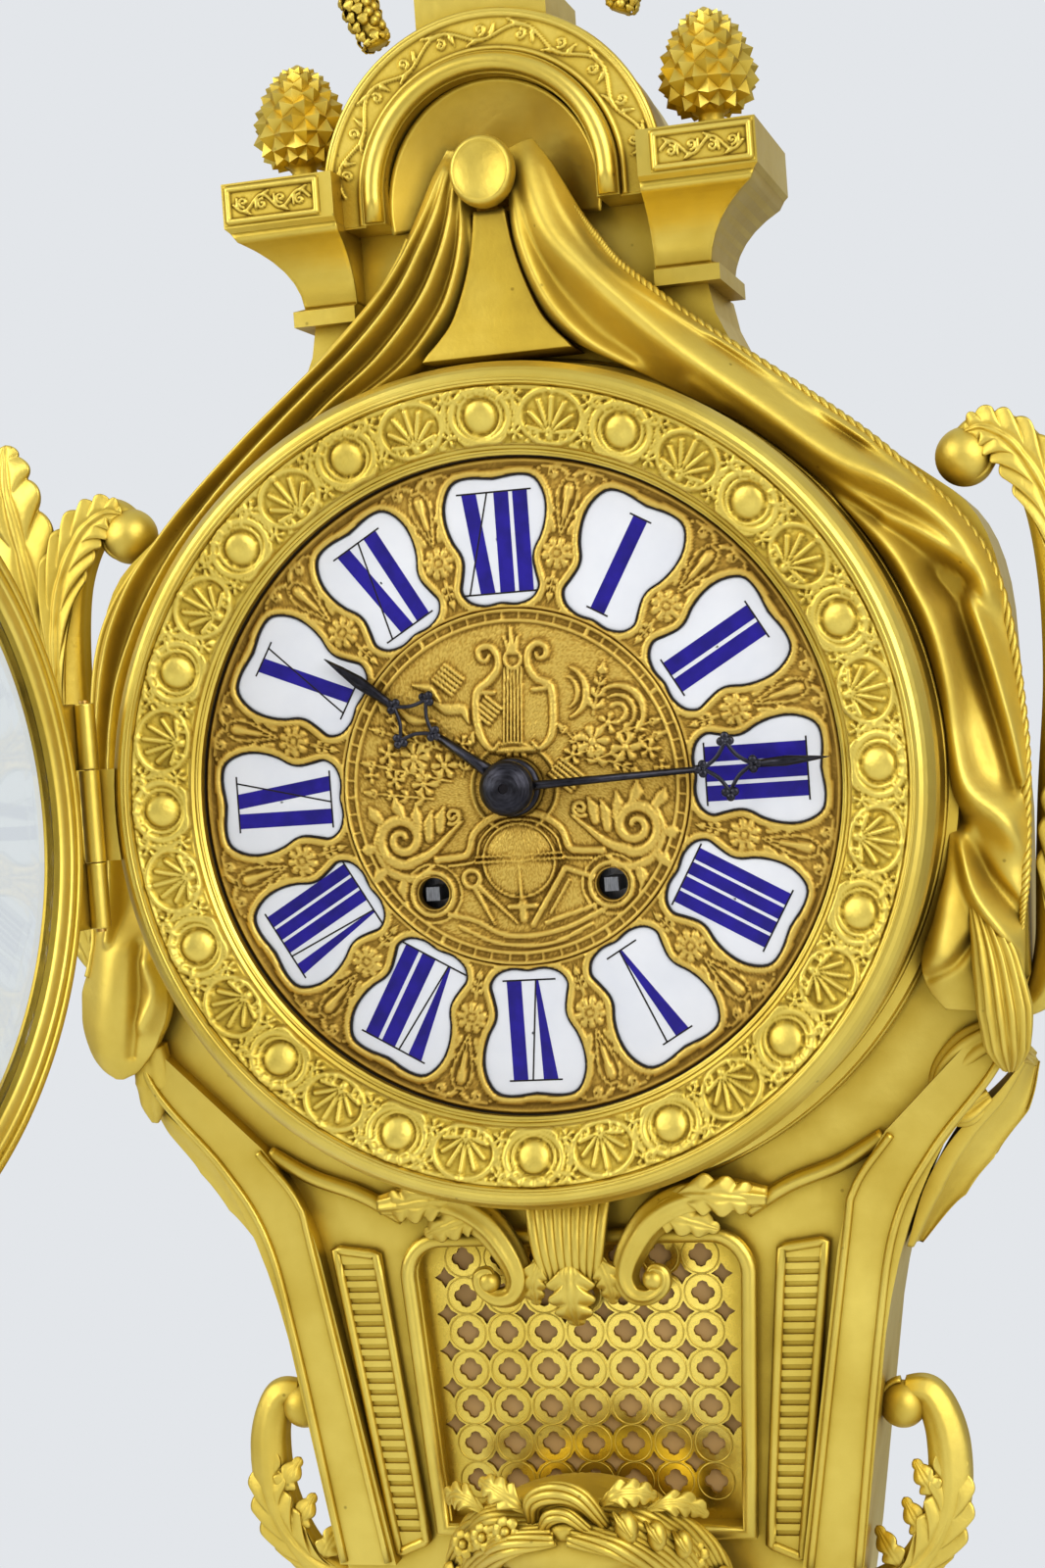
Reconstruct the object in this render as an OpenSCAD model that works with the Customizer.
// Gilt bronze cartel wall clock with a striking pendulum movement. All sizes are in millimetres.
// Pieces are drawn about the dial axis: X to the right, Z up. Forward distances run from the
// wall towards the room, along -Y. place() then moves the origin to the hook hole at the wall.

/* [Hanging] */
// Height of the hook hole above the dial axis
hook_height = 128; // [126:0.5:130]
// Radius of the hook hole
hook_r = 4; // [3:0.25:5]
// Thickness of the hanger plate
hanger_t = 3; // [2.5:0.25:4]

/* [Case] */
// Forward distance of the case front from the wall
case_f = 46; // [44:0.5:48]
// Wall of the case casting
case_wall = 4; // [3:0.25:5]
// Half width of the neck under the pediment
neck_x = 64; // [61:0.5:67]
// Top of the neck
neck_top = 150; // [148:0.5:151]
// Half width of the case at the dial
side_x = 149; // [146:0.5:152]
// Half width of the console at its foot
foot_x = 85; // [82:0.5:88]
// Relief of the pilaster bands
band_relief = 6; // [4:0.5:8]
// Relief of the moulding around the grille
frame_relief = 3.5; // [2:0.25:4]
// Relief of the fluted panels
flute_relief = 2.5; // [1.5:0.25:3.5]
// Number of grooves in a fluted panel
flute_count = 24; // [12:1:30]

/* [Pediment] */
// Radius of the arch
arch_r = 54; // [52:0.5:55]
// Width of the engraved arch band
arch_band = 13; // [10:0.5:15]
// Width of the moulding inside the band
arch_mould = 7; // [5:0.5:9]
// Half width over the two pedestals
pedestal_x = 85; // [83:0.5:88]
// Height of a pedestal face
pedestal_h = 14; // [12:0.5:16]
// Radius of a pine cone
cone_r = 13.5; // [11:0.5:14.5]
// Height of a pine cone with its stem
cone_h = 42; // [36:0.5:48]
// Height of the urn above its socle
urn_h = 148; // [130:1:165]
// Largest radius of the urn
urn_r = 30; // [26:0.5:32]
// Radius of the knob that holds the cloth
knob_r = 10.8; // [9:0.2:11.5]

/* [Dial and bezel] */
// Forward distance of the dial face from the wall
dial_f = 80; // [79:0.25:81]
// Radius of the dial that shows
dial_r = 100; // [99:0.25:101]
// Thickness of the dial plate
dial_t = 4; // [3.5:0.1:4.5]
// Depth of the pocket that holds a numeral plaque
pocket_depth = 2.2; // [1.8:0.1:2.6]
// Thickness of a numeral plaque
plaque_t = 1.8; // [1.4:0.1:2]
// Outer radius of the bezel
bezel_r = 127.5; // [126.5:0.25:128]
// Radius of the drum moulding at the case
drum_r = 132; // [130:0.25:133]
// Radius of a winding hole in the dial
winding_hole_r = 4.9; // [4.5:0.1:5.5]

/* [Door] */
// Angle at which the door stands open
door_open = 104; // [96:1:150]
// Radius of the hinge pin
hinge_pin_r = 1.5; // [1.2:0.1:1.8]
// Half length of the whole hinge
hinge_half = 35; // [30:0.5:40]
// Half length of the fixed knuckle
knuckle_half = 14.2; // [10:0.2:18]
// Thickness of the door glass
glass_t = 3.2; // [2.6:0.1:3.6]
// Width of the door frame ring
door_w = 13; // [11:0.5:15]

/* [Hands] */
// Minutes past ten that the hands show
shown_minutes = 14.7; // [0:0.1:59]
// Length of the minute hand
minute_len = 97; // [85:0.5:98]
// Length of the hour hand
hour_len = 71; // [60:0.5:75]
// Thickness of a hand
hand_t = 1.5; // [1.2:0.1:1.8]
// Radius of the domed hand nut
nut_r = 8.3; // [7:0.1:9]

/* [Movement] */
// Radius of the movement plates
plate_r = 64; // [62.5:0.25:66]
// Thickness of the movement plates
plate_t = 2.5; // [2:0.1:3]
// Distance between the plates
plate_gap = 31.5; // [31:0.1:32]
// Space for the motion work under the dial
motion_gap = 9.5; // [9.3:0.1:9.8]
// Half distance between the winding squares
winder_x = 28; // [27.5:0.1:28.5]
// Depth of the winding squares under the dial axis
winder_z = 31; // [30.5:0.1:31.5]
// Side of a winding square
winder_square = 4.2; // [3.8:0.1:4.6]
// Outer radius of a spring barrel
barrel_r = 20.2; // [19.6:0.1:20.4]
// Radius of a pillar
pillar_r = 3; // [2.5:0.1:3.2]
// Radius of the bell
bell_r = 26; // [23:0.5:26.5]

/* [Pendulum] */
// Length from the suspension to the middle of the bob
pendulum_len = 192; // [186:0.5:200]
// Radius of the bob
bob_r = 22; // [18:0.5:24]
// Thickness of the bob
bob_t = 9; // [7:0.5:10]

/* [Clearances] */
// Radial clearance of a running fit
run = 0.05; // [0.03:0.01:0.08]
// Gap between pieces that lie side by side
gap = 0.3; // [0.25:0.05:0.4]

/* [Hidden] */
$fn = 64;

gilt = "#c9a23c";
gilt_dark = "#9a7426";
brass = "#b8913a";
steel = "#5b6068";
blued = "#2f3640";
enamel = "#eceaf2";

// Depth levels, from the wall
plate_front_f = dial_f - dial_t - motion_gap;
front_plate_f = plate_front_f - plate_t;
back_plate_f = front_plate_f - plate_gap;
plate_back_f = back_plate_f - plate_t;
pendulum_f = plate_back_f - 10;
seat_f = dial_f - 2;
bezel_front_f = dial_f + 14;
door_back_f = bezel_front_f + 1;
glass_back_f = door_back_f + 2;
door_front_f = glass_back_f + glass_t + 3.4;
inner_f = case_f - case_wall;
hour_hand_f = dial_f + 3;
minute_hand_f = hour_hand_f + hand_t + 2.5;
cover_f = 8;
cover_t = 2;

// Radii that fit one another
tube_in = dial_r - 4;
tube_out = tube_in + 3;
dial_edge = dial_r + 3.5;
rebate_r = dial_edge + gap;
door_r = bezel_r + 0.3;
glass_r = door_r - door_w + 3;
hinge_x = bezel_r + 4.7;
hinge_f = bezel_front_f + 0.5;
knuckle_r = 3.2;

// Curves and small helpers
function bend(a, b, c, n = 6) =
    [for (i = [0 : n]) let (t = i / n) (1 - t) * (1 - t) * a + 2 * t * (1 - t) * b + t * t * c];
function reversed(p) = [for (i = [len(p) - 1 : -1 : 0]) p[i]];
function mirrored(p) = concat(p, [for (q = reversed(p)) if (q[0] > 0.01) [-q[0], q[1]]]);
function polar(r, a) = [r * cos(a), r * sin(a)];
function arc(c, r, a0, a1, n = 12) = [for (i = [0 : n]) c + polar(r, a0 + (a1 - a0) * i / n)];
function unit(v) = v / norm(v);
function mix(a, b, t) = a + (b - a) * t;
function pick(v, t) = let (s = t * (len(v) - 1), i = min(floor(s), len(v) - 2)) mix(v[i], v[i + 1], s - i);
// A smooth closed line through a few points
function spline(p, k = 4) = let (n = len(p)) [for (i = [0 : n - 1], j = [0 : k - 1])
    let (t = j / k, a = p[(i + n - 1) % n], b = p[i], c = p[(i + 1) % n], d = p[(i + 2) % n])
    0.5 * (2 * b + (c - a) * t + (2 * a - 5 * b + 4 * c - d) * t * t + (3 * b - a - 3 * c + d) * t *
        t * t)];
// A smooth open line through a few points of any size
function flow(p, n) = let (m = len(p) - 1) [for (i = [0 : n]) let (s = min(i / n * m, m - 0.0001),
    k = floor(s), t = s - k, a = p[max(k - 1, 0)], b = p[k], c = p[k + 1], d = p[min(k + 2, m)])
    0.5 * (2 * b + (c - a) * t + (2 * a - 5 * b + 4 * c - d) * t * t + (3 * b - a - 3 * c + d) * t *
        t * t)];

module place() translate([0, 0, -hook_height]) children();
module slab(f0, f1) rotate([90, 0, 0]) translate([0, 0, f0]) linear_extrude(f1 - f0) children();
module turned() rotate([90, 0, 0]) rotate_extrude() children();
module rod(p, r, f0, f1) translate([p[0], -f0, p[1]]) rotate([90, 0, 0]) cylinder(r = r, h = f1 - f0);
module bar(p, r, f0, f1) translate([p[0], -f0, p[1]]) rotate([90, 0, 0]) cylinder(r = r, h = f1 - f0,
    $fn = 12);
module box(x0, x1, f0, f1, z0, z1) translate([x0, -f1, z0]) cube([x1 - x0, f1 - f0, z1 - z0]);
module both() {
    children();
    mirror([1, 0, 0]) children();
}

// A closed skin over rings of points
module skin(rings) {
    n = len(rings);
    m = len(rings[0]);
    sides = [for (i = [0 : n - 2], j = [0 : m - 1]) let (a = i * m + j, b = i * m + (j + 1) % m)
        each [[a, a + m, b], [b, a + m, b + m]]];
    ends = [[for (j = [0 : m - 1]) j], [for (j = [m : -1 : 1]) (n - 1) * m + j % m]];
    polyhedron(points = [for (r = rings) each r], faces = concat(sides, ends));
}
// A round-backed stem along [x, z, forward, radius] points, flattened in depth
module stem(path, flat = 1, m = 8) {
    last = len(path) - 1;
    skin([for (i = [0 : last]) let (c = path[i], a = path[max(i - 1, 0)], b = path[min(i + 1, last)],
        t = unit([b[0] - a[0], b[1] - a[1]]))
        [for (k = [0 : m - 1]) let (w = 360 * k / m, s = c[3] * cos(w))
            [c[0] - s * t[1], -(c[2] + flat * c[3] * sin(w)), c[1] + s * t[0]]]]);
}
// A leaf lobe between two [x, z, forward, radius] balls
module lobe(a, b) hull() {
    translate([a[0], -a[2], a[1]]) sphere(r = a[3], $fn = 8);
    translate([b[0], -b[2], b[1]]) sphere(r = b[3], $fn = 6);
}

// Case outlines, right half from top to foot
shoulder = [134, 80];
hip = [118, -118];
foot_z = -249;
neck_side = bend([neck_x, neck_top], [neck_x + 2, 122], [106, 102]);
shoulder_side = bend(shoulder, [side_x - 3, 70], [side_x - 1.5, 44]);
hip_side = concat(bend([side_x - 2, -68], [side_x - 9, -92], hip),
    bend(hip, [104, -140], [97, -175]));
foot_side = bend([foot_x, foot_z], [foot_x - 7, -300], [40, -318]);
case_half = concat([[0, neck_top]], neck_side, shoulder_side, [[side_x, -20]], hip_side, foot_side,
    [[0, -326]]);
band_inner = concat(bend([101, -113], [88, -130], [84, -149]), [[foot_x - 19, foot_z]]);
// Opening for the grille, widened by d
function window(d) = mirrored(concat([[0, -146 + d], [43.5, -146 + d]],
    [for (p = arc([43.5, -156], 10, 80, 0, 5)) p + [d, 0]], [[48 + d, -236 - d], [0, -236 - d]]));

module case_body() color(gilt) place() {
    difference() {
        slab(0, case_f) polygon(mirrored(case_half));
        slab(-1, inner_f) offset(delta = -case_wall) polygon(mirrored(case_half));
        rod([0, 0], tube_out + gap, inner_f - 1, case_f + 1);
        slab(inner_f - 1, case_f + 1) polygon(window(0));
    }
    both() slab(case_f, case_f + band_relief) polygon(concat(hip_side, [[foot_x, foot_z]],
        reversed(band_inner)));
    slab(case_f, case_f + frame_relief) difference() {
        polygon(window(4));
        polygon(window(0));
    }
    both() difference() {
        rod(hanger_screw, boss_r, hanger_t, inner_f);
        rod(hanger_screw, screw_r + 2 * run, hanger_t - 1, screw_len + 1);
    }
}

// Drum that carries bezel and movement, hollow behind its moulding, with a slot below for the pendulum
drum_wall = 7;
module drum_ring() color(gilt) place() difference() {
    turned() polygon(concat([[tube_in, cover_f + cover_t], [tube_out, cover_f + cover_t], [tube_out,
        seat_f - drum_wall],
        [bezel_r - 8, seat_f - drum_wall], [drum_r - drum_wall - 3, case_f + 10], [drum_r - drum_wall,
            case_f], [drum_r - 2, case_f], [drum_r, case_f + 3], [drum_r - 1, case_f + 8]],
        bend([drum_r - 4, case_f + 9], [drum_r - 8, case_f + 14], [bezel_r - 1, seat_f - 6]),
        [[bezel_r - 1, seat_f], [rebate_r, seat_f], [rebate_r, dial_f - dial_t], [tube_in,
            dial_f - dial_t]]));
    box(-24, 24, 0, plate_back_f, -tube_out - 2, -60);
}

// Pediment: an arch between two moulded pedestals
arch_z = 186;
pedestal_top = arch_z + 9;
pediment_back = 6;
arch_f = 56;
pedestal_f = 66;
pedestal_in = arch_r - 1.5;
pediment_low = neck_top;
function moulding(edge, out) = concat([[edge, pedestal_top], [edge, pedestal_top - pedestal_h],
    [edge - 1.5, pedestal_top - pedestal_h - 1.5]],
    bend([edge - 3, pedestal_top - pedestal_h - 4], [edge - out + 1, pedestal_top - pedestal_h - 12],
        [edge - out, pediment_low + 6]),
    [[edge - out + 3, pediment_low + 5], [edge - out + 3, pediment_low]]);
arch_low = 178;
niche_f = 40;
// Round-headed outline of the arch, down to a level
module arch_head(r, low) {
    difference() {
        translate([0, arch_z]) circle(r = r);
        translate([-2 * r, arch_z - 2 * r]) square([4 * r, 2 * r]);
    }
    translate([-r, low]) square([2 * r, arch_z - low]);
}
module pediment() color(gilt) place() {
    difference() {
        slab(pediment_back, niche_f) arch_head(arch_r - 1, pediment_low);
        slab(pediment_back - 1, niche_f - 6) arch_head(arch_r - 16, pediment_low + 6);
    }
    for (step = [[arch_r, arch_band, arch_f], [arch_r - arch_band, arch_mould, arch_f + 3]])
        slab(30, step[2]) difference() {
            arch_head(step[0], arch_low);
            arch_head(step[0] - step[1], arch_low - 1);
        }
    both() intersection() {
        slab(pediment_back, pedestal_f) polygon(concat([[pedestal_in - 4, pediment_low],
            [pedestal_in - 4, pedestal_top]],
            moulding(pedestal_x, 19)));
        translate([20, 0, 0]) rotate([90, 0, 90]) linear_extrude(90) mirror([1, 0])
            polygon(concat([[pediment_back, pediment_low], [pediment_back, pedestal_top]],
                moulding(pedestal_f, 17)));
    }
}

// Tapered stone between the two swags
keystone_f = 62;
module keystone() color(gilt_dark) place() {
    slab(case_f, keystone_f) polygon([[-15.5, 137.5], [15.5, 137.5], [8, neck_top - gap], [-8,
        neck_top - gap]]);
    slab(niche_f, keystone_f) polygon([[-8, neck_top + gap], [8, neck_top + gap], [4.6, 178 - gap],
        [-4.6, 178 - gap]]);
    slab(case_f + gap, keystone_f) polygon([[-8, neck_top - 1], [8, neck_top - 1], [8, neck_top + 1],
        [-8, neck_top + 1]]);
    slab(case_f, keystone_f + 3) polygon([[-24, drum_r + gap], [24, drum_r + gap], [18, 138], [-18, 138]]);
}
knob_z = 178 + knob_r;
module drapery_knob() color(gilt) place() translate([0, 0, knob_z]) turned()
    polygon(concat([[0, niche_f], [knob_r - 4, niche_f], [knob_r - 4, 60], [knob_r, 62]],
        bend([knob_r, 66], [knob_r, 69], [knob_r - 3, 69]), [[0, 69]]));

// Cloth swags: each is one casting with its main folds, lying on the shoulder and hanging at the side
cloth_span = 28;
tail_span = 12;
cloth_ribs = 15;
// Middle line of the cloth as [x, z], the inner and outer half widths, the height of the folds and the
// lift off the case
swag = [[12, 192, 3, 4, 2, 6], [13, 189.5, 3, 5, 9, 6], [18, 170, 11, 10, 14, 6], [24.5, 160, 13, 10,
    15, 6], [34, 149.5, 13.5, 9, 16, 6], [56, 132, 9, 7, 17, 5], [86, 110, 6, 6, 18, 1],
    [111, 84.5, 6, 9, 18, 0]];
swag_right = concat(swag, [[131, 53, 8, 13, 17, 0], [141, 10, 8, 9, 16, 0], [140, -30, 9, 9, 15, 3],
    [136, -50, 12, 11, 14, 6], [132, -66, 15, 14, 14, 6], [134, -80, 13, 13, 11, 6],
    [138, -90, 7, 7, 5, 6], [139, -95, 5, 4, 2, 6]]);
swag_left = concat(swag, [[131, 53, 8, 14, 16, 0], [142, 10, 9, 10, 14, 0], [145, -28, 10, 9, 12, 2],
    [143, -46, 11, 11, 11, 6], [143, -62, 15, 15, 11, 6], [147, -75, 11, 11, 8, 6],
    [148, -83, 8, 7, 4, 6], [148, -85.5, 6, 5, 2, 6]]);
// Height of a fold across the cloth, plain where the cloth is flat
function ripple(h) = 0.28 * min(1, max(0, h - 2.5) / 8);
function fold(s, h) = h * sqrt(max(0, 1 - pow(abs(s),
    3))) * (1 - ripple(h) + ripple(h) * cos(540 * s + 60));
function cloth_ring(p, q, c, base) = let (t = unit(q - p), n = [-t[1], t[0]], k = cloth_ribs)
    concat([for (i = [0 : k]) let (s = 1 - 2 * i / k, w = s < 0 ? c[2] : c[3])
        [c[0] + n[0] * s * w, -(base + c[5] + 1 + fold(s, c[4])), c[1] + n[1] * s * w]],
        [for (i = [0 : k / 3]) let (s = -1 + 6 * i / k, w = s < 0 ? c[2] : c[3])
            [c[0] + n[0] * s * w, -base - c[5], c[1] + n[1] * s * w]]);
module cloth(rows, base, span) {
    line = flow(rows, span);
    last = len(line) - 1;
    skin([for (i = [0 : last]) let (a = line[max(i - 1, 0)], b = line[min(i + 1, last)])
        cloth_ring([a[0], a[1]], [b[0], b[1]], line[i], base)]);
}
cloth_f = case_f + gap;
// Loose end of the cloth that follows the hip of the case, behind the front
tail_f = 8;
tail_in = 8;
tail_out = [3, 10, 13, 12, 9, 13, 14, 9, 2];
tail_fold = [2, 20, 26, 26, 24, 28, 28, 20, 2];
tail_rows = [2, 3, 4, 5, 6, 8, 9, 10, 11];
tail = [for (i = [0 : len(tail_rows) - 1])
    let (k = tail_rows[i], n = unit(hip_side[k + 1] - hip_side[k - 1]),
        c = hip_side[k] + (tail_in + gap) * [-n[1], n[0]])
    [c[0], c[1], tail_in, tail_out[i], tail_fold[i], 0]];
module drapery_right() color(gilt) place() {
    cloth(swag_right, cloth_f, cloth_span);
    cloth(tail, tail_f, tail_span);
}
module drapery_left() color(gilt) place() mirror([1, 0, 0]) {
    cloth(swag_left, cloth_f, cloth_span);
    cloth(tail, tail_f, tail_span);
}

cone_at = [67, 36];
module pine_cones() color(gilt) place() both() translate([cone_at[0], -cone_at[1],
    pedestal_top]) rotate_extrude()
    polygon(concat([[0, 0], [8, 0], [8, 2], [4, 5], [4, 8], [7, 9.5]],
        bend([cone_r * 0.7, 10.5], [cone_r * 1.35, 16], [cone_r * 0.6, cone_h * 0.72]), [[2, cone_h],
            [0, cone_h]]));

// Urn on a socle that sits on the arch
socle_top = arch_z + arch_r + 8;
urn_f = 33;
module urn() color(gilt) place() {
    difference() {
        box(-21, 21, urn_f - 21, urn_f + 21, arch_z + 48, socle_top);
        rod([0, arch_z], arch_r, 0, 80);
    }
    translate([0, -urn_f, socle_top - 1]) rotate_extrude() polygon(concat(
        [[0, 0], [17, 0], [17, 5]], bend([13, 7], [5, 9], [5, 18]), [[8, 20], [8, 22]],
        bend([7, 24], [urn_r - 2, 28], [urn_r, urn_h * 0.44]), [[urn_r - 3, urn_h * 0.47], [urn_r - 3,
            urn_h * 0.5]],
        bend([urn_r - 6, urn_h * 0.52], [urn_r - 7, urn_h * 0.6], [urn_r - 2, urn_h * 0.64]),
            [[urn_r - 2, urn_h * 0.66]],
        bend([urn_r - 5, urn_h * 0.68], [12, urn_h * 0.74], [6, urn_h * 0.8]), [[6, urn_h * 0.82]],
        bend([7, urn_h * 0.84], [15, urn_h * 0.9], [0, urn_h])));
}
module urn_garlands() color(gilt) place() both() stem(flow([[urn_r + 1.5, socle_top + urn_h * 0.47,
    urn_f, 3], [urn_r + 10, socle_top + 52, urn_f, 5],
    [urn_r + 17, socle_top + 30, urn_f, 6], [urn_r + 16, socle_top + 8, urn_f, 6.5], [urn_r + 10,
        socle_top - 8, urn_f, 5]], 14), 1, 8);

// Side wings: an acanthus stem that curls into a ball, and a leaf that rises behind it
wing_f = 34;
wing_ball = [side_x - 13, 90, 8.5];
wing_line = [[side_x + 4.5, -78, wing_f, 4], [side_x + 8, -50, wing_f, 8], [side_x + 11.5, -15, wing_f,
    9.5], [side_x + 15.5, 20, wing_f, 11], [side_x + 16, 50, wing_f, 11], [side_x + 12.5, 76, wing_f, 9.5],
    [side_x + 4, 93, wing_f, 8], [side_x - 6, 98, wing_f, 6.5], [side_x - 13, 93, wing_f, 6]];
leaf_line = [[side_x + 16, 24, wing_f, 8], [side_x + 22, 62, wing_f, 11], [side_x + 27, 90, wing_f, 12],
    [side_x + 31, 112, wing_f, 8], [side_x + 31, 125, wing_f, 2.5]];
module wings() color(gilt) place() both() {
    stem(flow(wing_line, 14), 1, 8);
    stem(flow(leaf_line, 7), 0.7, 8);
    translate([wing_ball[0], -wing_f, wing_ball[1]]) sphere(r = wing_ball[2], $fn = 10);
    for (i = [0 : 5]) lobe([side_x + 16 + 1.2 * i, -34 + 17 * i, wing_f, 5],
        [side_x + 25 + 1.6 * i, -24 + 19 * i, wing_f + 2, 2.6]);
}
scroll_f = 36;
scroll_ball = [foot_x + 13.5, -201, 7.8];
scroll_line = [[foot_x - 8, -262, scroll_f, 4], [foot_x + 14, -253, scroll_f, 7.5], [foot_x + 25, -234,
    scroll_f, 8], [foot_x + 27, -213, scroll_f, 7.5],
    [foot_x + 22.5, -198.5, scroll_f, 6.5], [foot_x + 14.5, -196.5, scroll_f, 5.5]];
module lower_scrolls() color(gilt) place() both() difference() {
    union() {
        stem(flow(scroll_line, 12), 1, 8);
        translate([scroll_ball[0], -scroll_f, scroll_ball[1]]) sphere(r = scroll_ball[2], $fn = 10);
        for (i = [0 : 4]) lobe([foot_x + 14 + 2 * i, -248 + 9 * i, scroll_f, 5], [foot_x + 26 + 2 * i,
            -254 + 11 * i, scroll_f + 2, 2.4]);
    }
    slab(0, case_f + band_relief) offset(delta = gap) polygon(mirrored(case_half));
}

// Apron palmette: fan of lobes between two scrolls
module palmette() color(gilt) place() difference() {
    union() {
        for (i = [-4 : 4]) lobe([7 * i, -140 + 0.5 * abs(i), case_f + 4, 7], [4.2 * i,
            -168 + 1.5 * i * i, case_f + 8, 4]);
        both() stem(flow([[63, -132.5, case_f + 4, 3], [50, -132.5, case_f + 4, 5], [37, -134, case_f + 5,
            6], [27, -139.5, case_f + 5, 6], [20, -148, case_f + 5, 5.5], [19, -157, case_f + 5, 5]], 12),
            1, 8);
        both() translate([24.5, -case_f - 5, -156.5]) sphere(r = 8, $fn = 10);
    }
    rod([0, 0], drum_r + gap, 0, 100);
    slab(0, case_f + frame_relief + gap) square(600, center = true);
}

// Fluted panels beside the grille
flute = [[66, -149], [80, -147], [65.8, -246], [56, -242]];
module flute_panels() color(gilt_dark) place() both() difference() {
    slab(case_f, case_f + flute_relief) polygon(flute);
    for (i = [1 : flute_count]) let (z = mix(flute[0][1], flute[3][1], i / (flute_count + 1)))
        box(50, 86, case_f + flute_relief - 1, case_f + 9, z - 0.9, z + 0.9);
}

// Pierced grille: rows of quatrefoils with diamonds between them
fret_pitch = [13, 12];
fret_t = 1.6;
fret_top = -152;
// Radii of a quatrefoil at its notches and lobes, and of a diamond at its sides and points
foil_in = 2.8;
foil_out = 3.9;
lozenge_in = 1.9;
lozenge_out = 3.5;
function foil(c) = [for (k = [0 : 15]) let (a = 22.5 * k, lobe = pow(abs(cos(2 * a)), 0.8))
    c + polar(foil_in + (foil_out - foil_in) * lobe, a)];
function lozenge(c) = [for (k = [0 : 3]) each [c + polar(lozenge_out, 90 * k),
    c + polar(lozenge_in, 90 * k + 45)]];
module fret_grille() color(gilt) place() slab(inner_f - fret_t, inner_f) difference() {
    polygon(window(3));
    for (row = [0 : 6], col = [-3 : 3]) translate([fret_pitch[0] * col,
        fret_top - fret_pitch[1] * row]) polygon(foil([0, 0]));
    for (row = [0 : 5], col = [-4 : 3]) if (abs(col + 0.5) < 3.6 - 0.02 * row)
        translate([fret_pitch[0] * (col + 0.5),
            fret_top - fret_pitch[1] * (row + 0.5)]) polygon(lozenge([0, 0]));
}
module fret_cloth() color("#8a6a30") place() slab(inner_f - fret_t - 1,
    inner_f - fret_t) polygon(window(2));

// Mask with its hair, standing out over the foot of the grille
mask_low = -306;
mask_top = -208;
mask_half = [14, 26, 34, 39, 42, 45, 49, 52, 50, 40, 16];
mask_front = [66, 84, 92, 97, 99, 98, 97, 96, 95, 92, 84];
function mask_back(z) = z > -245 ? case_f + band_relief + gap : case_f;
module mask() color(gilt) place() skin([for (i = [0 : 20]) let (t = i / 20, z = mix(mask_low, mask_top,
    t), w = pick(mask_half, t),
    d = pick(mask_front, t), b = mask_back(z))
    concat([for (k = [0 : 14]) let (a = 180 * k / 14) [-w * cos(a), -mix(b + 1, d, pow(sin(a), 0.8)), z]],
        [[w * 0.99, -b, z], [-w * 0.99, -b, z]])]);

// Leaf cup and seed pod under the mask
pod_f = 40;
module bottom_leaf() color(gilt) place() difference() {
    union() {
        for (i = [-3 : 3]) lobe([11 * i, -318 - 2 * abs(i), case_f + 4 - abs(i), 9], [8 * i,
            -362 + 3 * abs(i), pod_f, 5]);
        lobe([0, -330, pod_f, 14], [0, -364, pod_f, 9]);
        both() lobe([20, -328, pod_f, 10], [40, -322, pod_f, 6]);
    }
    slab(-1, case_f) offset(delta = gap) polygon(mirrored(case_half));
    box(-90, 90, -60, 0, -400, -300);
    box(-60, 60, 0, 120, mask_low - gap, -200);
    box(-30, 30, 0, 120, -400, -370);
}
module seed_pod() color(gilt) place() translate([0, -pod_f, -370]) rotate_extrude()
    polygon(concat([[0, 0], [6, 0], [6, -3]], bend([8, -5], [15, -14], [10, -26]), bend([8, -29], [4,
        -33], [0, -36])));

// Hanger plate on two bosses at the top of the case
boss_r = 6;
screw_r = 2;
screw_len = 16;
hanger_screw = [36, hook_height - 6];
module hanger_plate() color(steel) place() difference() {
    box(-46, 46, 0, hanger_t, hook_height - 16, hook_height + 14);
    rod([0, hook_height], hook_r, -1, hanger_t + 1);
    both() rod(hanger_screw, screw_r + 2 * run, -1, hanger_t + 1);
    both() rod(hanger_screw, 2 * screw_r, -1, hanger_t - 1);
}
module hanger_screws() color(steel) place() both() {
    rod(hanger_screw, 2 * screw_r - 2 * run, gap, hanger_t - 1);
    rod(hanger_screw, screw_r, gap, screw_len);
}
module rear_cover() color(brass) place() difference() {
    rod([0, 0], tube_out, cover_f, cover_f + cover_t);
    both() rod(strap_at, strap_r, 0, cover_f + cover_t + 1);
    box(-24, 24, 0, 20, -tube_out - 2, -88);
}

// Ornamented bezel with the fixed hinge knuckle
hinge_at = [-hinge_x, -hinge_f];
module knuckle(z0, z1) difference() {
    translate([hinge_at[0], hinge_at[1], z0]) cylinder(r = knuckle_r, h = z1 - z0);
    translate([hinge_at[0], hinge_at[1], z0 - 1]) cylinder(r = hinge_pin_r + run, h = z1 - z0 + 2);
}
module dial_bezel() color(gilt) place() {
    turned() polygon(concat([[rebate_r, seat_f], [rebate_r, dial_f], [dial_r, dial_f], [dial_r, dial_f + 4],
        [dial_r + 2.5, dial_f + 6]], bend([dial_r + 3, dial_f + 7], [dial_r + 11, dial_f + 8],
            [bezel_r - 8, dial_f + 11]),
        bend([bezel_r - 7, bezel_front_f - 1], [bezel_r - 3, bezel_front_f + 1], [bezel_r,
            bezel_front_f - 6]), [[bezel_r, seat_f]]));
    knuckle(-knuckle_half, knuckle_half);
    difference() {
        box(-hinge_x, 4 - bezel_r, seat_f + 6, hinge_f - hinge_pin_r - 0.6, -knuckle_half, knuckle_half);
        rod([0, 0], bezel_r - 2, 0, 200);
    }
}
module hinge_pin() color(brass) place() translate([hinge_at[0], hinge_at[1],
    -hinge_half - 1]) cylinder(r = hinge_pin_r, h = 2 * hinge_half + 2);

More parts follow.
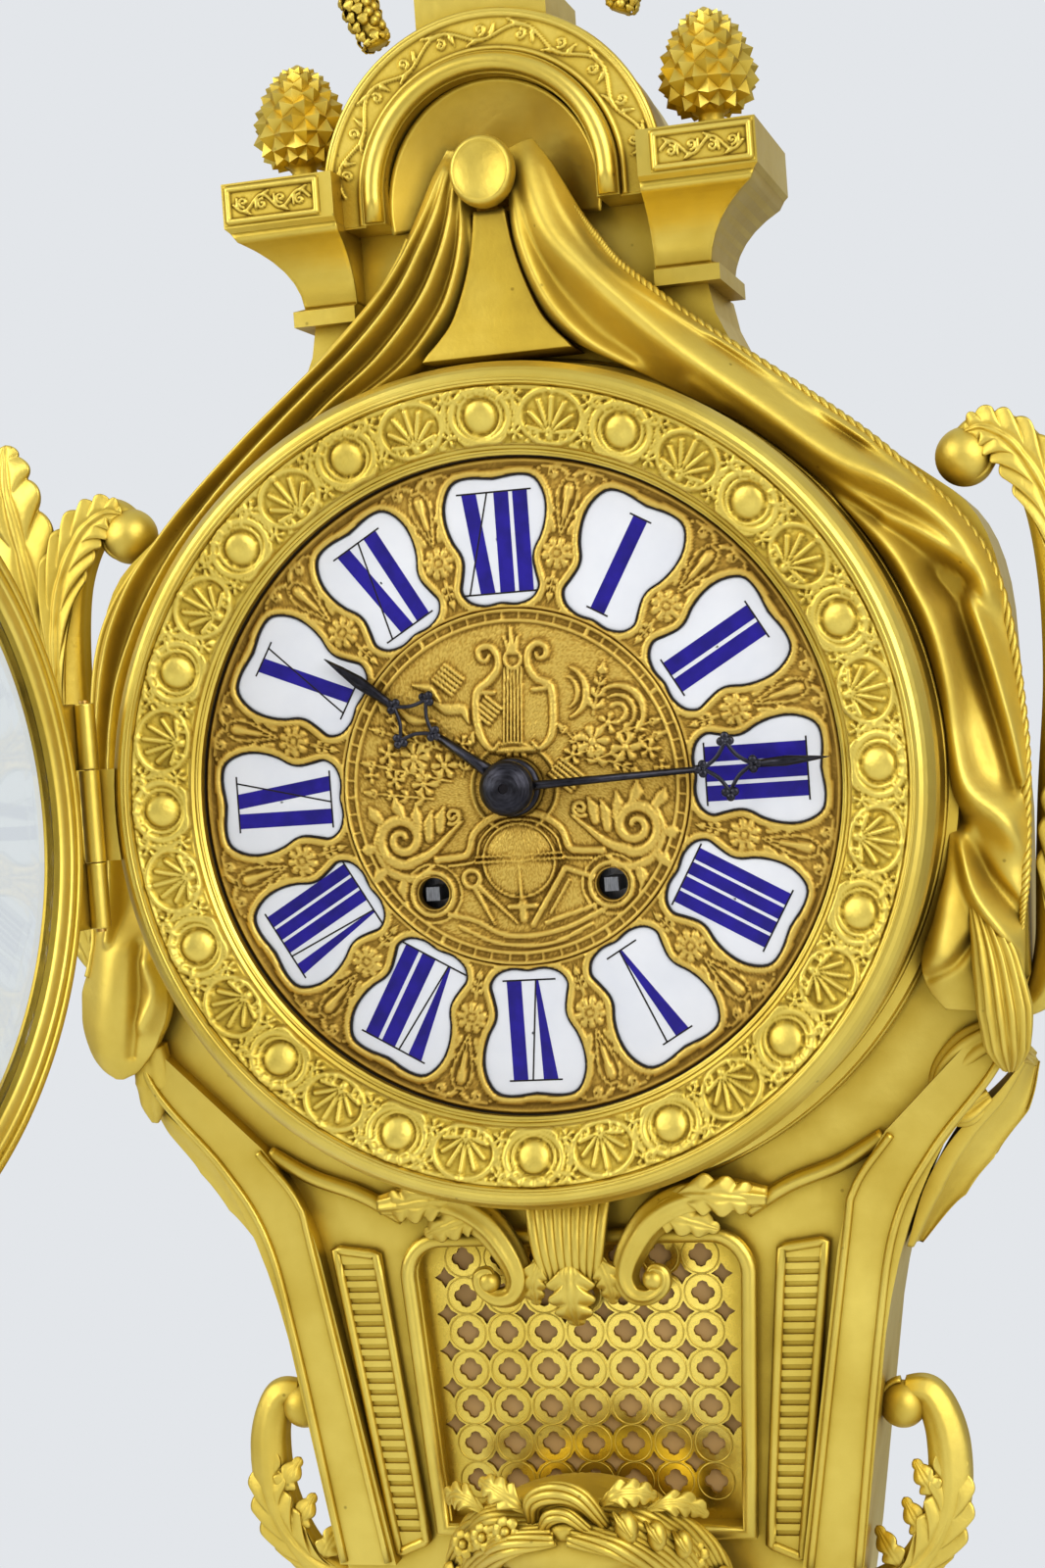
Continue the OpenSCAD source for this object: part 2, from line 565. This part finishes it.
// Glazed door, drawn shut and then swung open about the hinge pin
module swung() place() translate([hinge_at[0], hinge_at[1], 0]) rotate([0, 0,
    -door_open]) translate([-hinge_at[0], -hinge_at[1], 0]) children();
module door_frame() color(gilt) swung() {
    turned() polygon(concat([[glass_r + gap, door_back_f], [door_r, door_back_f]],
        bend([door_r, door_front_f - 4], [door_r - 1, door_front_f], [door_r - 6, door_front_f]),
        [[door_r - door_w, door_front_f - 1], [door_r - door_w, glass_back_f + glass_t],
            [glass_r + gap, glass_back_f + glass_t]]));
    for (side = [0, 1]) mirror([0, 0, side]) {
        knuckle(knuckle_half + gap, hinge_half);
        difference() {
            box(-hinge_x, 9 - bezel_r, hinge_f + hinge_pin_r + 0.6, door_front_f - 4,
                knuckle_half + gap, hinge_half);
            rod([0, 0], door_r - 2, 0, 200);
        }
    }
}
module door_glass() color("#dfe8ea") swung() turned() polygon([[0, glass_back_f], [glass_r - 9,
    glass_back_f], [glass_r, glass_back_f + glass_t - 1.4],
    [glass_r, glass_back_f + glass_t], [0, glass_back_f + glass_t]]);
// Catch that hooks over the bezel opposite the hinge
module door_catch() color(gilt) swung() {
    box(door_r + 0.05, door_r + 3, door_back_f - 9, door_front_f - 3, -5, 5);
    translate([door_r + 4, -door_back_f - 2, 0]) sphere(r = 3);
}

// Dial plate with twelve pockets for the enamel numerals
plaque_half = [[0, 93.2], [8, 94], [13, 92.4], [15.6, 87], [15.6, 81], [13.8, 75.4], [11.5, 71.5],
    [10.8, 68], [11.5, 63.5], [12, 60], [9.6, 56.8], [5, 55.4], [0, 56]];
module plaque_outline(margin) {
    k = (15.6 + margin) / 15.6;
    q = (20 + margin) / 20;
    polygon(spline(mirrored([for (p = plaque_half) [p[0] * k, 74.5 + (p[1] - 74.5) * q]]), 2));
}
module at_hours() for (h = [0 : 11]) rotate(-30 * h) children();
winders = [[winder_x, -winder_z], [-winder_x, -winder_z]];
pipe_hole_r = 6;
dial_foot_ring = 55;
dial_foot_r = 2;
module dial_plate() color(gilt) place() {
    difference() {
        rod([0, 0], dial_edge, dial_f - dial_t, dial_f);
        slab(dial_f - pocket_depth, dial_f + 1) at_hours() plaque_outline(gap);
        rod([0, 0], pipe_hole_r, 0, 100);
        for (w = winders) rod(w, winding_hole_r, 0, 100);
    }
    for (a = [45 : 90 : 315]) rod(polar(dial_foot_ring, a), dial_foot_r, plate_front_f, dial_f - dial_t);
}
module numeral_plaques() color(enamel) place() slab(dial_f - pocket_depth,
    dial_f - pocket_depth + plaque_t) at_hours() plaque_outline(0);
strap_at = [80, 0];
strap_r = 2.5;
module strap_bolts() color(steel) place() both() {
    rod(strap_at, strap_r - run, cover_f - 1, dial_f - dial_t);
    rod(strap_at, 2 * strap_r, cover_f - 3, cover_f);
}

// Hands: a shaft, an open diamond with four knobs, and a lance tip
module hand_outline(hub, bore, cross, width, len) difference() {
    union() {
        circle(r = hub);
        polygon([[-width / 2, 0], [width / 2, 0], [width * 0.36, cross - 5], [-width * 0.36, cross - 5]]);
        polygon([[0, cross - 9], [8, cross], [0, cross + 9], [-8, cross]]);
        for (a = [0 : 90 : 270]) translate([0, cross] + polar(9, a)) circle(r = 2.2);
        polygon([[0, cross + 7], [3.2, cross + 14], [0, len], [-3.2, cross + 14]]);
    }
    circle(r = bore);
    polygon([[0, cross - 4.6], [4, cross], [0, cross + 4.6], [-4, cross]]);
}
pipe_r = 4;
cannon_r = 2.4;
minute_angle = 6 * shown_minutes;
hour_angle = 300 + shown_minutes / 2;
module hour_hand() color(blued) place() slab(hour_hand_f,
    hour_hand_f + hand_t) rotate(-hour_angle) hand_outline(6.5, pipe_r + run, 38, 4, hour_len);
module minute_hand() color(blued) place() slab(minute_hand_f,
    minute_hand_f + hand_t) rotate(-minute_angle) hand_outline(6, cannon_r + run, 67, 3.4, minute_len);
module hand_nut() color(blued) place() turned() polygon(concat([[arbor_r + run,
    minute_hand_f + hand_t], [nut_r, minute_hand_f + hand_t]],
    bend([nut_r, minute_hand_f + hand_t + 2], [nut_r - 2, minute_hand_f + hand_t + 5], [arbor_r + run,
        minute_hand_f + hand_t + 5.5])));

// Gearing. Each gear has [teeth, module], and each arbor a place on the plates.
barrel_gear = [84, 0.56];
barrel_pinion = [10, 0.56];
inter_gear = [80, 0.52];
centre_pinion = [10, 0.52];
centre_gear = [96, 0.40];
third_pinion = [8, 0.40];
third_gear = [88, 0.36];
escape_pinion = [8, 0.36];
pin_gear = [80, 0.46];
stop_pinion = [8, 0.46];
stop_gear = [72, 0.40];
fly_pinion = [8, 0.40];
cannon_gear = [12, 0.60];
minute_gear = [36, 0.60];
minute_pinion = [12, 0.48];
hour_gear = [48, 0.48];
wheel_tooth = [0.75, 1.25, 0.16, 0.40, 0.52];
leaf_tooth = [0.55, 1.25, 0.14, 0.30, 0.36];
function mesh(a, b) = a[1] * (a[0] + b[0]) / 2;
function bearing(p, q) = atan2(q[1] - p[1], q[0] - p[0]);
// The point at ra from p and rb from q, on the left of the line from p to q
function crossing(p, ra, q, rb) = let (d = norm(q - p), a = (ra * ra - rb * rb + d * d) / (2 * d),
    h = sqrt(ra * ra - a * a), u = (q - p) / d) p + a * u + h * [-u[1], u[0]];
// Phase that sets a gear's gaps on the teeth of its driver
function follow(p, q, phase, a, b) = let (t = bearing(p,
    q)) t + 180 + ((t - phase) * a[0] / 360 + 0.5) * 360 / b[0];
function teeth(g, s, phase) = let (r = g[0] * g[1] / 2, n = g[0])
    [for (i = [0 : n - 1]) each [for (c = [[-s[1], -s[4]], [0, -s[3]], [s[0], -s[2]], [s[0], s[2]], [0,
        s[3]], [-s[1], s[4]]])
        polar(r + c[0] * g[1], phase + 360 / n * (i + c[1] / 2))]];

centre = [0, 0];
escape_at = [0, 25];
anchor_at = [0, 42.5];
inter_at = crossing(centre, mesh(inter_gear, centre_pinion), winders[0], mesh(barrel_gear, barrel_pinion));
third_at = crossing(centre, mesh(centre_gear, third_pinion), escape_at, mesh(third_gear, escape_pinion));
pin_at = winders[1] + polar(mesh(barrel_gear, barrel_pinion), 112);
stop_at = pin_at + polar(mesh(pin_gear, stop_pinion), 98);
fly_at = stop_at + polar(mesh(stop_gear, fly_pinion), 70);
minute_at = polar(mesh(cannon_gear, minute_gear), 60);
hammer_at = [-28, 50];

inter_phase = follow(centre, inter_at, 0, centre_pinion, inter_gear);
barrel_phase = follow(inter_at, winders[0], inter_phase, barrel_pinion, barrel_gear);
third_phase = follow(centre, third_at, 0, centre_gear, third_pinion);
escape_phase = follow(third_at, escape_at, third_phase, third_gear, escape_pinion);
minute_phase = follow(centre, minute_at, 0, cannon_gear, minute_gear);
hour_phase = follow(minute_at, centre, minute_phase, minute_pinion, hour_gear);
pin_phase = follow(winders[1], pin_at, 0, barrel_gear, barrel_pinion);
stop_phase = follow(pin_at, stop_at, pin_phase, pin_gear, stop_pinion);
fly_phase = follow(stop_at, fly_at, stop_phase, stop_gear, fly_pinion);

// Heights of the wheels above the back plate
wheel_t = 2;
pinion_t = 3;
escape_lift = 2;
barrel_lift = 2.5;
stop_lift = 8.5;
centre_lift = 12.5;
third_lift = 18.5;
upper_lift = 26.5;
pivot_r = 0.9;
slim_r = 1.1;
arbor_r = 1.5;
winder_r = 3.2;

module gear(p, g, s, phase, lift, t) translate([p[0], 0, p[1]]) slab(back_plate_f + lift,
    back_plate_f + lift + t) polygon(teeth(g, s, phase));
module wheel(p, g, phase, lift, spokes = true) difference() {
    gear(p, g, wheel_tooth, phase, lift, wheel_t);
    if (spokes) for (a = [0 : 90 : 270]) translate([p[0], 0, p[1]]) slab(0,
        100) polygon(spoke_gap(g[0] * g[1] / 2, phase + a));
}
function spoke_gap(r, a) = concat(arc([0, 0], r - 2.4, a + 9, a + 81, 8), [for (q = arc([0, 0], 4.4,
    a + 65, a + 25, 3)) q]);
module leaves(p, g, phase, lift) gear(p, g, leaf_tooth, phase, lift - 0.5, pinion_t);
module arbor(p, r) {
    bar(p, r, back_plate_f + gap, front_plate_f - gap);
    bar(p, pivot_r, plate_back_f + gap, plate_front_f - gap);
}

module plate(f) difference() {
    rod(centre, plate_r, f, f + plate_t);
    for (p = [inter_at, third_at, escape_at, pin_at, stop_at, fly_at, hammer_at, anchor_at]) rod(p,
        pivot_r + run, 0, 100);
    for (p = winders) rod(p, winder_r + run, 0, 100);
    rod(centre, arbor_r + run, 0, 100);
}
module front_plate() color(brass) place() {
    plate(front_plate_f);
    rod(minute_at, pivot_r, plate_front_f, plate_front_f + motion_gap - gap);
}
module back_plate() color(brass) place() plate(plate_back_f);
pillar_ring = plate_r - 4;
module pillars() color(brass) place() for (a = [4, 90, 176, 270]) rod(polar(pillar_ring, a), pillar_r,
    back_plate_f, front_plate_f);

// Spring barrels: a toothed drum with its spring and the winding arbor through it
barrel_h = 21;
spring_turns = 6;
spring_steps = 20 * spring_turns;
spring_t = 0.5;
function spiral(r0, r1, turns, n) = [for (i = [0 : n]) polar(mix(r0, r1, i / n), 360 * turns * i / n)];
module barrel(p, phase) difference() {
    union() {
        gear(p, barrel_gear, wheel_tooth, phase, barrel_lift, wheel_t);
        translate([p[0], 0, p[1]]) slab(back_plate_f + barrel_lift + wheel_t,
            back_plate_f + barrel_lift + barrel_h) polygon(arc([0, 0], barrel_r, 0, 352.5, 47));
    }
    translate([p[0], 0, p[1]]) slab(back_plate_f + barrel_lift + wheel_t,
        back_plate_f + barrel_lift + barrel_h - 1.5) polygon(arc([0, 0], barrel_r - 1.4, 0, 352.5, 47));
    bar(p, winder_r + 0.15, 0, 100);
}
module mainspring(p) translate([p[0], 0, p[1]]) slab(back_plate_f + barrel_lift + wheel_t + gap,
    back_plate_f + barrel_lift + barrel_h - 1.5 - gap)
    polygon(concat(spiral(winder_r + 1.5, barrel_r - 2.4, spring_turns, spring_steps),
        reversed(spiral(winder_r + 1.5 + spring_t, barrel_r - 2.4 + spring_t, spring_turns,
            spring_steps))));
ratchet_teeth = 24;
ratchet_r = 9;
ratchet_t = 1.6;
function ratchet() = [for (i = [0 : ratchet_teeth - 1]) each [polar(ratchet_r, 15 * i),
    polar(ratchet_r - 1.4, 15 * i + 1.5)]];
module winder(p) {
    bar(p, winder_r, plate_back_f + gap, plate_front_f + 3);
    translate([p[0], 0, p[1]]) slab(plate_front_f + gap,
        plate_front_f + gap + ratchet_t) polygon(ratchet());
    translate([p[0], 0, p[1]]) slab(plate_front_f, dial_f + 1) square(winder_square, center = true);
}
module going_barrel() color(brass) place() barrel(winders[0], barrel_phase);
module strike_barrel() color(brass) place() barrel(winders[1], 0);
module going_spring() color(steel) place() mainspring(winders[0]);
module strike_spring() color(steel) place() mainspring(winders[1]);
module going_winder() color(steel) place() winder(winders[0]);
module strike_winder() color(steel) place() winder(winders[1]);
module clicks() color(steel) place() both() translate([winder_x, 0, -winder_z]) {
    slab(plate_front_f, plate_front_f + 2) polygon([[ratchet_r + 0.5, -3], [ratchet_r + 3, -4],
        [ratchet_r + 5, 6], [ratchet_r + 1.5, 6]]);
    rod([ratchet_r + 3.2, 4], 1.2, plate_front_f + 2, plate_front_f + 3.4);
}

module intermediate_wheel() color(brass) place() {
    arbor(inter_at, slim_r);
    leaves(inter_at, barrel_pinion, inter_phase, barrel_lift);
    wheel(inter_at, inter_gear, inter_phase, upper_lift);
}
module centre_arbor() color(brass) place() {
    bar(centre, arbor_r, plate_back_f + gap, minute_hand_f + hand_t + 5);
    leaves(centre, centre_pinion, 0, upper_lift);
    wheel(centre, centre_gear, 0, centre_lift);
    bar(centre, 4.6, back_plate_f + centre_lift, back_plate_f + centre_lift + wheel_t);
}
module third_wheel() color(brass) place() {
    arbor(third_at, slim_r);
    leaves(third_at, third_pinion, third_phase, centre_lift);
    wheel(third_at, third_gear, third_phase, third_lift);
}
escape_teeth = 31;
escape_r = 12.5;
module escape_wheel() color(brass) place() {
    arbor(escape_at, slim_r);
    leaves(escape_at, escape_pinion, escape_phase, third_lift);
    translate([0, 0, escape_at[1]]) slab(back_plate_f + escape_lift, back_plate_f + escape_lift + 1.5)
        polygon([for (i = [0 : escape_teeth - 1]) let (p = 360 / escape_teeth) each [polar(escape_r,
            p * i), polar(escape_r - 1.9, p * i + 2), polar(escape_r - 1.9, p * i + 9)]]);
}
// Anchor with its arbor, and the crutch that reaches back to the pendulum rod
crutch_low = anchor_at[1] - 70;
crutch_f = pendulum_f + 4.5;
rod_r = 1.4;
module anchor() color(steel) place() {
    bar(anchor_at, slim_r, back_plate_f + gap, front_plate_f - gap);
    bar(anchor_at, pivot_r, cock_f - 0.4, plate_front_f - gap);
    slab(back_plate_f + escape_lift - 0.3, back_plate_f + escape_lift + 1.8) polygon(mirrored([[0,
        anchor_at[1] + 3], [6, anchor_at[1] + 1], [14.6, 30.5], [15.6, 25.8],
        [14.2, 25.4], [13.1, 30], [5, anchor_at[1] - 2.4], [0, anchor_at[1] - 2]]));
    bar(anchor_at, 3, crutch_f, crutch_f + 1.5);
    slab(crutch_f, crutch_f + 1.5) polygon([[-1.4, crutch_low], [1.4, crutch_low], [1.4, anchor_at[1]],
        [-1.4, anchor_at[1]]]);
    both() box(rod_r + gap, rod_r + gap + 1.5, pendulum_f - 3, crutch_f + 1.5, crutch_low - 2,
        crutch_low + 2);
    box(-rod_r - gap - 1.5, rod_r + gap + 1.5, crutch_f, crutch_f + 1.5, crutch_low - 2, crutch_low + 2);
}
// Cock behind the back plate: rear pivot of the anchor and the suspension post of the pendulum
cock_f = pendulum_f + 4;
module back_cock() color(brass) place() difference() {
    union() {
        both() box(8, 13, cock_f - 2, plate_back_f, anchor_at[1] - 3, anchor_at[1] + 11);
        box(-13, 13, cock_f - 2, cock_f, anchor_at[1] + 4, anchor_at[1] + 11);
        box(-3.5, 3.5, cock_f - 2, cock_f, anchor_at[1] - 3, anchor_at[1] + 5);
        rod([0, anchor_at[1]], suspension_r, pendulum_f - 4, cock_f - 1);
        rod(anchor_at, 3.4, cock_f - 2, cock_f);
    }
    rod([0, anchor_at[1]], pivot_r + run, cock_f - 0.5, plate_back_f);
}
suspension_r = 1.8;
bob_z = anchor_at[1] - pendulum_len;
bob_edge = rod_r + 0.8;
module pendulum_rod() color(brass) place() {
    difference() {
        rod(anchor_at, suspension_r + 2, pendulum_f - 2, pendulum_f + 0.6);
        rod(anchor_at, suspension_r + run, 0, 100);
    }
    translate([0, -pendulum_f, bob_z - bob_r - 8]) cylinder(r = rod_r,
        h = pendulum_len + bob_r + 8 - suspension_r - 1);
}
module pendulum_bob() color(brass) place() difference() {
    translate([0, 0, bob_z]) turned() polygon([[0, pendulum_f - bob_t / 2], [bob_r - 5,
        pendulum_f - bob_t / 2],
        [bob_r, pendulum_f - bob_edge], [bob_r, pendulum_f + bob_edge], [bob_r - 5,
            pendulum_f + bob_t / 2], [0, pendulum_f + bob_t / 2]]);
    translate([0, -pendulum_f, bob_z - bob_r - 1]) cylinder(r = rod_r + run, h = 2 * bob_r + 2);
}

// Motion work between the front plate and the dial
motion_base = plate_gap + plate_t;
cannon_lift = motion_base + 1.5;
hour_lift = motion_base + 5.2;
pipe_run = 0.07;
module cannon_pinion() color(brass) place() difference() {
    union() {
        gear(centre, cannon_gear, leaf_tooth, 0, cannon_lift, pinion_t);
        rod(centre, cannon_r, back_plate_f + cannon_lift, minute_hand_f + hand_t);
    }
    rod(centre, arbor_r + run, 0, 200);
}
module minute_wheel() color(brass) place() difference() {
    union() {
        gear(minute_at, minute_gear, wheel_tooth, minute_phase, cannon_lift + 0.5, wheel_t);
        gear(minute_at, minute_pinion, leaf_tooth, minute_phase, cannon_lift + 0.5 + wheel_t, pinion_t);
    }
    bar(minute_at, (pivot_r + run) / cos(15), 0, 200);
}
module hour_wheel() color(brass) place() difference() {
    union() {
        gear(centre, hour_gear, wheel_tooth, hour_phase, hour_lift, wheel_t);
        rod(centre, pipe_r, back_plate_f + hour_lift, hour_hand_f + hand_t);
    }
    rod(centre, cannon_r + pipe_run, 0, 200);
}

// Striking train
pin_count = 10;
module pin_wheel() color(brass) place() {
    arbor(pin_at, slim_r);
    leaves(pin_at, barrel_pinion, pin_phase, barrel_lift);
    wheel(pin_at, pin_gear, pin_phase, upper_lift, false);
    for (i = [0 : pin_count - 1]) bar(pin_at + polar(15, 36 * i), 0.6, back_plate_f + upper_lift - 3,
        back_plate_f + upper_lift + 0.5);
}
module stop_wheel() color(brass) place() {
    arbor(stop_at, slim_r);
    leaves(stop_at, stop_pinion, stop_phase, upper_lift);
    wheel(stop_at, stop_gear, stop_phase, stop_lift);
}
module fly() color(brass) place() {
    arbor(fly_at, slim_r);
    leaves(fly_at, fly_pinion, fly_phase, stop_lift);
    box(fly_at[0] - 7.5, fly_at[0] + 7.5, back_plate_f + 13, back_plate_f + 24.5, fly_at[1] - 0.4,
        fly_at[1] + 0.4);
}
// Bell on a bridge over the plates, and the hammer beside it
bell_f = (plate_back_f + plate_front_f) / 2;
bell_low = plate_r + 8;
hammer_f = back_plate_f + 24.8;
module hammer() color(steel) place() {
    arbor(hammer_at, slim_r);
    slab(hammer_f, hammer_f + 1) polygon([[-29.2, hammer_at[1]], [-28, 8], [-26.6, 8], [-26.4,
        hammer_at[1]]]);
    slab(bell_f - 1, bell_f + 1) polygon([[-29, hammer_at[1]], [-27, hammer_at[1]], [-30, bell_low],
        [-32, bell_low]]);
    translate([-bell_r - 5, -bell_f, bell_low + 3]) rotate([0, 90, 0]) translate([0, 0,
        -3.6]) cylinder(r = 3.2, h = 7.2);
}
bell_h = 20;
bell_wall = 2;
post_r = 2;
module bell() color(brass) place() translate([0, -bell_f,
    bell_low]) rotate_extrude() polygon(concat([[post_r + run, bell_h], [post_r + run,
    bell_h - bell_wall]],
    bend([8, bell_h - bell_wall], [bell_r - 5, bell_h - bell_wall], [bell_r - bell_wall, 0]), [[bell_r,
        0]], bend([bell_r, 2], [bell_r - 3, bell_h], [8, bell_h])));
module bell_stand() color(brass) place() {
    box(-4, 4, plate_back_f, plate_front_f, plate_r, plate_r + 3);
    translate([0, -bell_f, plate_r + 3]) {
        cylinder(r = post_r, h = bell_h + 8);
        cylinder(r = post_r + 2, h = bell_low - plate_r - 3 + bell_h - bell_wall);
        translate([0, 0, bell_low - plate_r - 3 + bell_h]) cylinder(r = 4, h = 2.4, $fn = 6);
    }
}

case_body();
drum_ring();
pediment();
keystone();
drapery_knob();
drapery_left();
drapery_right();
pine_cones();
urn();
urn_garlands();
wings();
lower_scrolls();
palmette();
flute_panels();
fret_grille();
fret_cloth();
mask();
bottom_leaf();
seed_pod();
hanger_plate();
hanger_screws();
rear_cover();
dial_bezel();
hinge_pin();
door_frame();
door_glass();
door_catch();
dial_plate();
numeral_plaques();
strap_bolts();
hour_hand();
minute_hand();
hand_nut();
front_plate();
back_plate();
pillars();
going_barrel();
going_spring();
going_winder();
strike_barrel();
strike_spring();
strike_winder();
clicks();
intermediate_wheel();
centre_arbor();
third_wheel();
escape_wheel();
anchor();
back_cock();
pendulum_rod();
pendulum_bob();
cannon_pinion();
minute_wheel();
hour_wheel();
pin_wheel();
stop_wheel();
fly();
hammer();
bell();
bell_stand();
